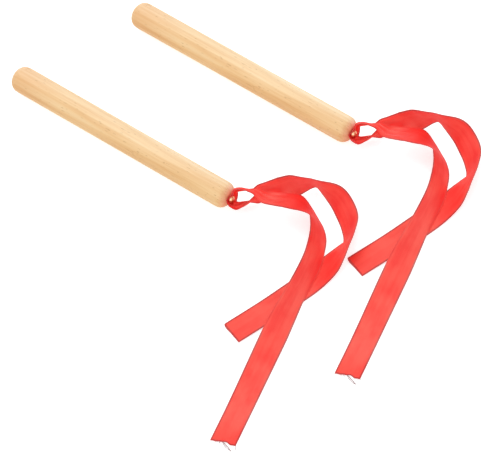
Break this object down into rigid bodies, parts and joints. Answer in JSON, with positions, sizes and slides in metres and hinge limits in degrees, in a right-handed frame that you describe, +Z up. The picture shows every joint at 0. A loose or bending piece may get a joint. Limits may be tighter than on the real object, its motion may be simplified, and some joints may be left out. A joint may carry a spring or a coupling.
{
  "type": "rhythm sticks",
  "caption": "Plain pale wooden rhythm sticks with bull-nosed ends, each with a long red satin ribbon held to one end by a slotted round-head brass screw.",
  "frame": {"origin": "middle of the outline of both sticks with their ribbons, on the floor that they lie on", "axes": "+X along the sticks toward their ribbon ends, +Y from the first stick to the second, +Z up"},
  "size_m": [0.3628, 0.291, 0.0236],
  "materials": {
    "pale_wood": "satin",
    "brass": "polished",
    "red_satin": "satin"
  },
  "bodies": {
    "first_stick": {"stick_1": "pale_wood", "screw_1": "brass", "ribbon_1": "red_satin"},
    "second_stick": {"stick_2": "pale_wood", "screw_2": "brass", "ribbon_2": "red_satin"}
  },
  "joints": [
    {"name": "second_stick_lift", "type": "slide", "parent": "first_stick", "child": "second_stick", "axis": [0, 0, 1], "range_m": [0, 0.12]}
  ]
}
